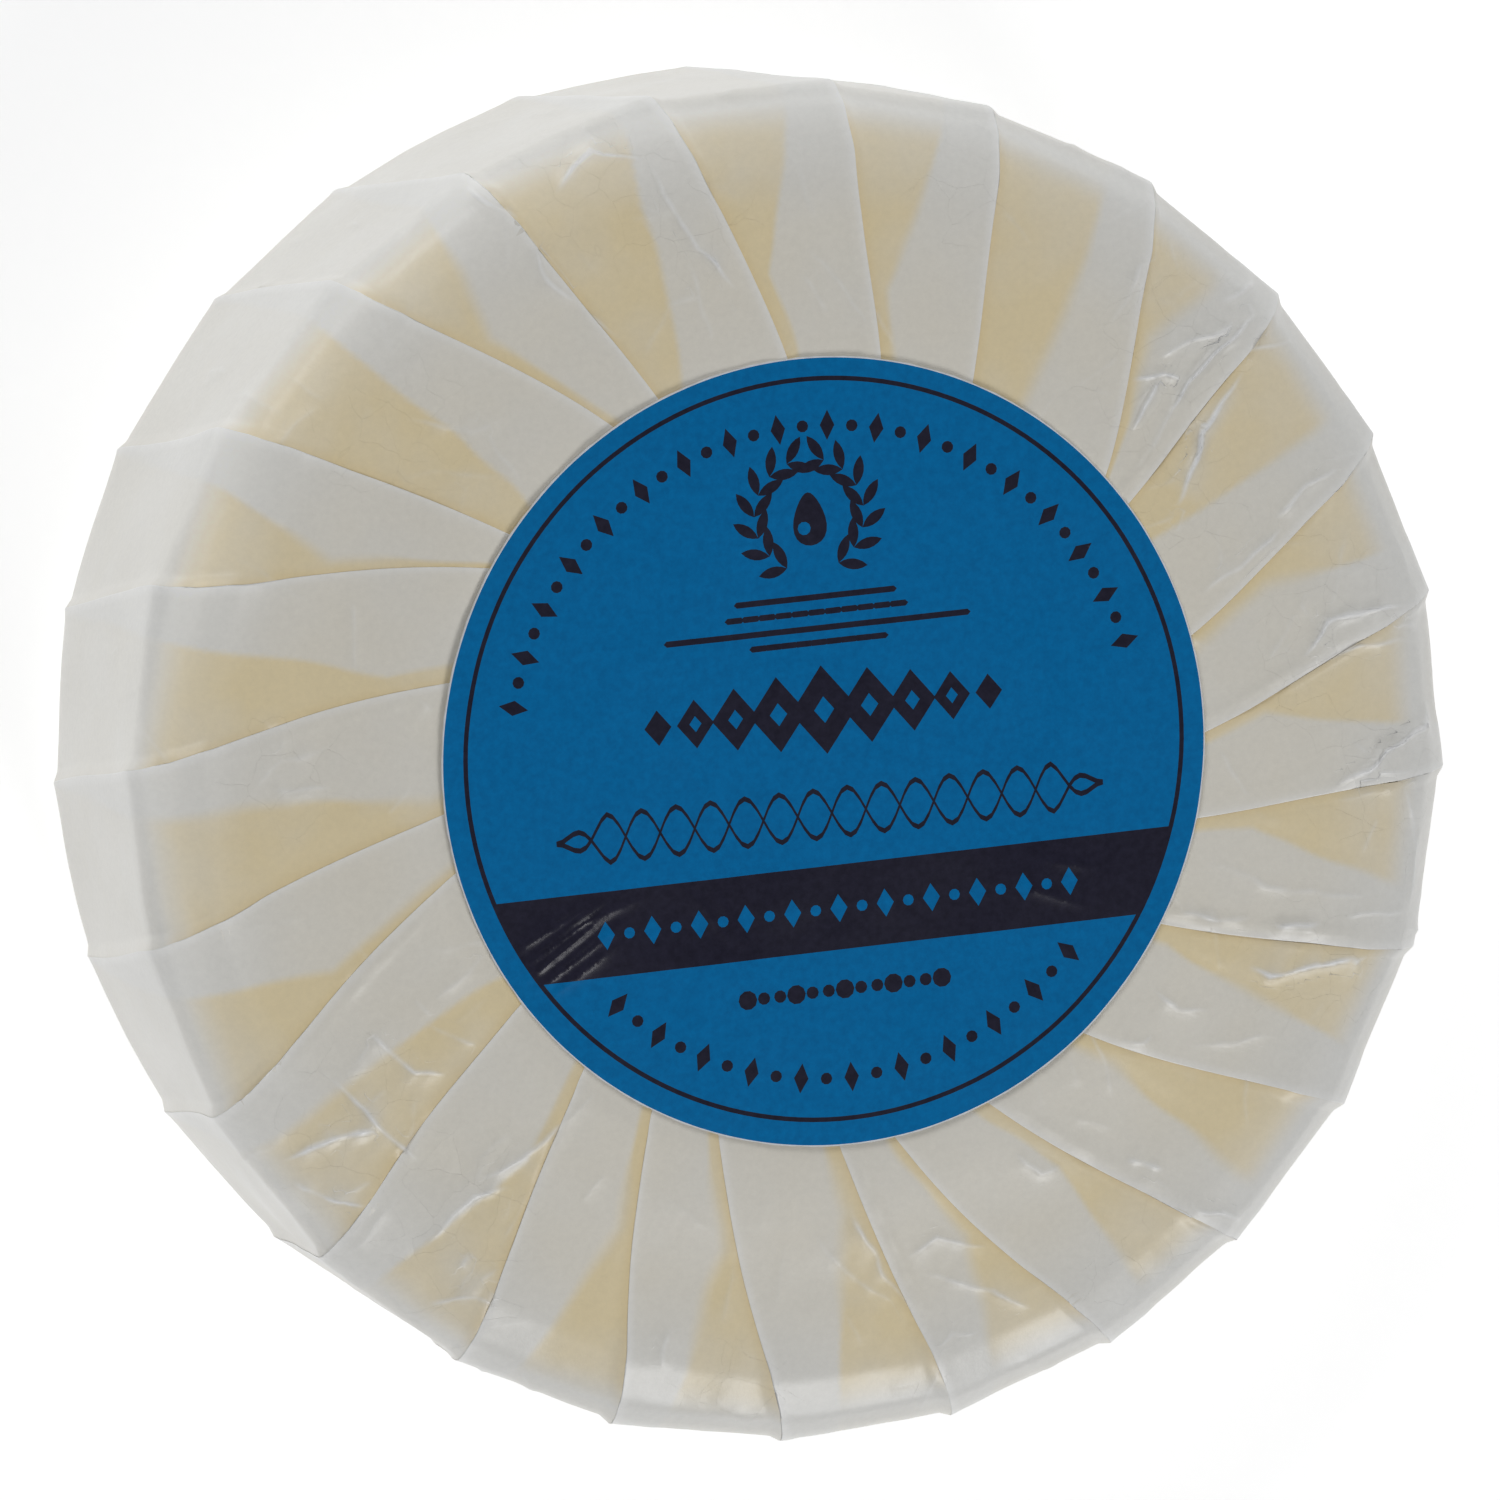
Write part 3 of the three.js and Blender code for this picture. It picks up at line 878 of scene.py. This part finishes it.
# The label's materials: name, colour, darker specks, roughness and specular level.
LABEL_MATERIALS = [
    ("label_blue", (0.001, 0.175, 0.45, 1), (0.001, 0.14, 0.37, 1), 0.5, 0.08),
    ("label_ink", (0.014, 0.013, 0.032, 1), (0.006, 0.005, 0.018, 1), 0.3, 0.4),
    ("label_edge", (0.82, 0.84, 0.86, 1), (0.7, 0.72, 0.75, 1), 0.6, 0.3),
]


def circle(x, y, radius, points=16):
    turn = np.linspace(0, 2 * np.pi, points, endpoint=False)
    return np.column_stack([x + radius * np.cos(turn), y + radius * np.sin(turn)])


def finely(shape, longest=0.5):
    """The same outline with no side longer than that."""
    points = []
    for start, end in zip(shape, np.roll(shape, -1, axis=0)):
        pieces = math.ceil(math.dist(start, end) / longest)
        points += [start + (end - start) * i / pieces for i in range(pieces)]
    return np.array(points)


def counter_clockwise(shape):
    x, y = shape.T
    area = np.sum(x * np.roll(y, -1) - np.roll(x, -1) * y)
    return shape if area > 0 else shape[::-1]


def placed(shape, x, y, degrees=0.0):
    """A shape turned and moved to its place."""
    turn = math.radians(degrees)
    spin = np.array([[math.cos(turn), math.sin(turn)], [-math.sin(turn), math.cos(turn)]])
    return shape @ spin + (x, y)


def lozenge(width, height):
    return np.array([(width / 2, 0), (0, height / 2), (-width / 2, 0), (0, -height / 2)])


def bar(width, height):
    """A bar with pointed ends."""
    w, h = width / 2, height / 2
    return np.array([(w, 0), (w - h, h), (h - w, h), (-w, 0), (h - w, -h), (w - h, -h)])


def leaf(length, width):
    share = np.linspace(0, 1, 7)
    half = width / 2 * np.sin(np.pi * share) ** 0.8
    upper = np.column_stack([length * share, half])
    return np.concatenate([upper, upper[-2:0:-1] * (1, -1)])


def wave_line(half_length, amplitude, phase, width):
    """A thin wavy stripe."""
    x = np.linspace(-half_length, half_length, 97)
    fade = np.minimum(1, (half_length - np.abs(x)) / 3.0)
    y = amplitude * fade * np.sin(2 * np.pi * x / 4.0 + phase)
    return np.concatenate([np.column_stack([x, y + width / 2]), np.column_stack([x, y - width / 2])[::-1]])


def arc_of(shape_at, radius, first, last, count):
    """Shapes along an arc, each turned to stand on it. Angles are clockwise from the top."""
    for i in range(count):
        clockwise = math.radians(first + (last - first) * i / (count - 1))
        yield placed(shape_at(i), radius * math.sin(clockwise), radius * math.cos(clockwise),
                     -math.degrees(clockwise))


def lozenge_or_dot(number, width, height, dot_radius):
    """One of a row in which lozenges and dots take turns."""
    return lozenge(width, height) if number % 2 == 0 else circle(0, 0, dot_radius, 10)


def dark_band():
    """The dark band across the label from side to side of the ring, and the pattern left blue in it."""
    reach = RING_RADIUS - RING_WIDTH / 2
    turn_top = math.atan2(BAND_TOP, math.sqrt(reach ** 2 - BAND_TOP ** 2))
    turn_low = math.asin(BAND_BOTTOM / reach)
    right = np.linspace(turn_low, turn_top, 9)
    edge = reach * np.column_stack([np.cos(right), np.sin(right)])
    yield np.concatenate([edge, edge[::-1] * (-1, 1)]) + (0, RING_RISE), True
    middle = (BAND_TOP + BAND_BOTTOM) / 2 + 0.1
    for i in range(-10, 11):
        yield placed(lozenge_or_dot(i, 1.0, 1.6, 0.32), BAND_PITCH * i, middle), False


def wreath():
    """A sprig wreath round a drop of lather with a gleam in it."""
    for side in (-1, 1):
        for i in range(7):
            climb = math.radians(-62 + 22 * i)
            x = side * WREATH_RADIUS * math.cos(climb)
            y = WREATH_HEIGHT + WREATH_RADIUS * math.sin(climb)
            for spread in (-38, 38):
                turned = math.degrees(climb) + 90 + spread
                yield placed(leaf(1.7, 0.62), x, y, turned if side > 0 else 180 - turned), True
    turn = np.linspace(0, 2 * np.pi, 24, endpoint=False)
    pinch = 0.75 + 0.25 * np.cos(turn)
    middle = WREATH_HEIGHT - 0.2
    yield np.column_stack([1.25 * pinch * np.sin(turn), middle - 1.5 * np.cos(turn)]), True
    yield circle(-0.35, middle - 0.5, 0.38, 10), False


def frieze(half_count, tallest, shrink, is_ink):
    """A row of lozenges that grow smaller and closer away from the middle."""
    for i in range(-half_count, half_count + 1):
        height = tallest - shrink * abs(i)
        x = FRIEZE_PITCH * i * (1 - 0.03 * abs(i))
        yield placed(lozenge(0.78 * height, height), x, FRIEZE_HEIGHT), is_ink


def label_print():
    """The label's print, as (outline, is it ink), in the order that it is laid down."""
    shapes = [
        (circle(0, 0, LABEL_RADIUS - CUT_EDGE, 256), False),
        (circle(0, RING_RISE, RING_RADIUS, 160), True),
        (circle(0, RING_RISE, RING_RADIUS - RING_WIDTH, 160), False),
        *dark_band(),
    ]
    # Borders along the ring
    for first, last, count in ((-76, 76, 35), (226, 134, 21)):
        row = arc_of(lambda i: lozenge_or_dot(i, 0.85, 1.7, 0.34), BORDER_RADIUS, first, last, count)
        shapes += [(outline, True) for outline in row]
    shapes += wreath()
    for y, half in DASH_ROWS:
        dashes = int(half / 0.8)
        for i in range(-dashes, dashes + 1):
            shapes.append((placed(bar(1.15, 0.34), half * i / dashes, y), True))
    # A bold frieze, a fine double wave and a row of beads
    shapes += frieze(4, 5.0, 0.75, True)
    shapes += frieze(3, 1.5, 0.2, False)
    for phase in (0, math.pi):
        shapes.append((wave_line(16.0, 1.35, phase, 0.3) + (0, WAVE_HEIGHT), True))
    for i in range(-6, 7):
        shapes.append((circle(0.95 * i, BEAD_HEIGHT, 0.36 if i % 3 else 0.55, 10), True))
    return shapes


# Wrinkles where the label was smoothed down: from (x, y) to (x, y), and a height
LABEL_WRINKLES = [
    (-19.0, -9.2, -13.6, -6.6, 0.13), (-18.7, -10.2, -12.2, -6.4, 0.17), (-18.4, -10.9, -13.0, -7.3, 0.20),
    (-17.9, -11.5, -12.6, -8.2, 0.17), (-17.2, -12.0, -12.9, -9.3, 0.14), (-16.0, -8.3, -11.2, -6.9, 0.10),
    (-8.8, -6.6, -6.4, -10.2, 0.08), (-7.2, -7.0, -5.6, -10.8, 0.07), (10.4, -8.6, 14.6, -10.4, 0.08),
    (12.0, -7.4, 15.2, -8.2, 0.07), (-9.5, 2.0, -6.5, -2.5, 0.04),
]


def label_height(x, y):
    """The label's top: flat, with the pleats under it telling a little, and a few wrinkles."""
    at = np.column_stack([x, y, np.zeros_like(x)])
    wave = ripple(at, 13, 41) + 0.6 * ripple(at, 5, 43)
    total = LABEL_BEND * np.clip(wave, -0.8, 1.6)
    for x0, y0, x1, y1, height in LABEL_WRINKLES:
        length = math.hypot(x1 - x0, y1 - y0)
        along, over = (x1 - x0) / length, (y1 - y0) / length
        share = ((x - x0) * along + (y - y0) * over) / length
        aside = np.abs((x - x0) * over - (y - y0) * along)
        strength = height * smooth(-0.1, 0.3, share) * smooth(-0.1, 0.4, 1 - share)
        total += strength * np.exp(-(aside / WRINKLE_WIDTH) ** 1.3)
    return total


def near_wrinkle(x0, y0, x1, y1):
    """A fine grid of points along a wrinkle, so that the mesh can follow it."""
    length = math.hypot(x1 - x0, y1 - y0)
    along, aside = np.meshgrid(np.arange(0, length, 0.2), np.arange(-0.8, 0.81, 0.2))
    along, aside = along.ravel()[:, None], aside.ravel()[:, None]
    direction = np.array([(x1 - x0) / length, (y1 - y0) / length])
    return (x0, y0) + along * direction + aside * (-direction[1], direction[0])


def label_plan():
    """The label in the plane, cut along its print: its points, its faces and which of them are ink."""
    around = 256
    outline = circle(0, 0, LABEL_RADIUS, around)
    number = np.arange(around)[:, None]
    outline *= 1 + 0.0012 * np.sin(number * 1.9) * np.sin(number * 0.7)  # a cut edge is never quite round
    grid, _ = filled(outline, 0.45)
    fine = np.concatenate([near_wrinkle(*ends[:4]) for ends in LABEL_WRINKLES])
    grid = np.concatenate([grid, np.unique(fine.round(1), axis=0)])
    shapes = [(finely(shape), is_ink) for shape, is_ink in label_print()]
    drawn = np.concatenate([shape for shape, _ in shapes])
    clear = [np.hypot(*(drawn - point).T).min() > 0.2 for point in grid[around:]]
    grid = np.concatenate([grid[:around], grid[around:][clear]])
    points = [Vector(p) for p in grid]
    loops = [list(range(around))]
    for shape, _ in shapes:
        loops.append(list(range(len(points), len(points) + len(shape))))
        points += [Vector(p) for p in counter_clockwise(shape)]
    made = delaunay_2d_cdt(points, [], loops, 1, 1e-6)
    flat = np.array([tuple(p) for p in made[0]])
    ink = [bool(face_in) and max(face_in) > 0 and shapes[max(face_in) - 1][1] for face_in in made[5]]
    return flat, [list(face) for face in made[2]], ink


def label():
    flat, top_faces, ink = label_plan()
    thickness = 0.6 * (LABEL_TOP - LABEL_LOW)
    rise = label_height(*flat.T)
    top = np.column_stack([flat, LABEL_LOW - 0.04 + thickness + rise])
    bottom = top - (0, 0, thickness)
    points = np.concatenate([top, bottom]) + (LABEL_CENTRE.x, LABEL_CENTRE.y, 0)
    count = len(top)
    edges = {}
    for face in top_faces:
        for a, b in zip(face, face[1:] + face[:1]):
            edges[(a, b)] = True
    border = [(a, b) for a, b in edges if (b, a) not in edges]
    faces = top_faces + [[count + v for v in reversed(face)] for face in top_faces]
    faces += [[b, a, count + a, count + b] for a, b in border]
    sticker = new_piece("printed_label", points, faces, "label_print", "label")
    mesh = sticker.data
    for look in LABEL_MATERIALS:
        mesh.materials.append(print_material(*look))
    middles = np.array([flat[face].mean(axis=0) for face in top_faces])
    cut = np.hypot(*middles.T) > LABEL_RADIUS - CUT_EDGE - 0.01
    index = [2 if pale else int(dark) for dark, pale in zip(ink, cut)] + [2] * (len(faces) - len(ink))
    mesh.polygons.foreach_set("material_index", index)
    mesh.polygons.foreach_set("use_smooth", [i < 2 * len(top_faces) for i in range(len(faces))])
    return sticker


# ---- Everything together ----

add_camera()
add_light()
add_floor()
soap()
wrapper()
label()

visual_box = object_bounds()
boxes = {"cad": cad_box, "visual": visual_box}
{name: [list(corner) for corner in box] for name, box in boxes.items()}
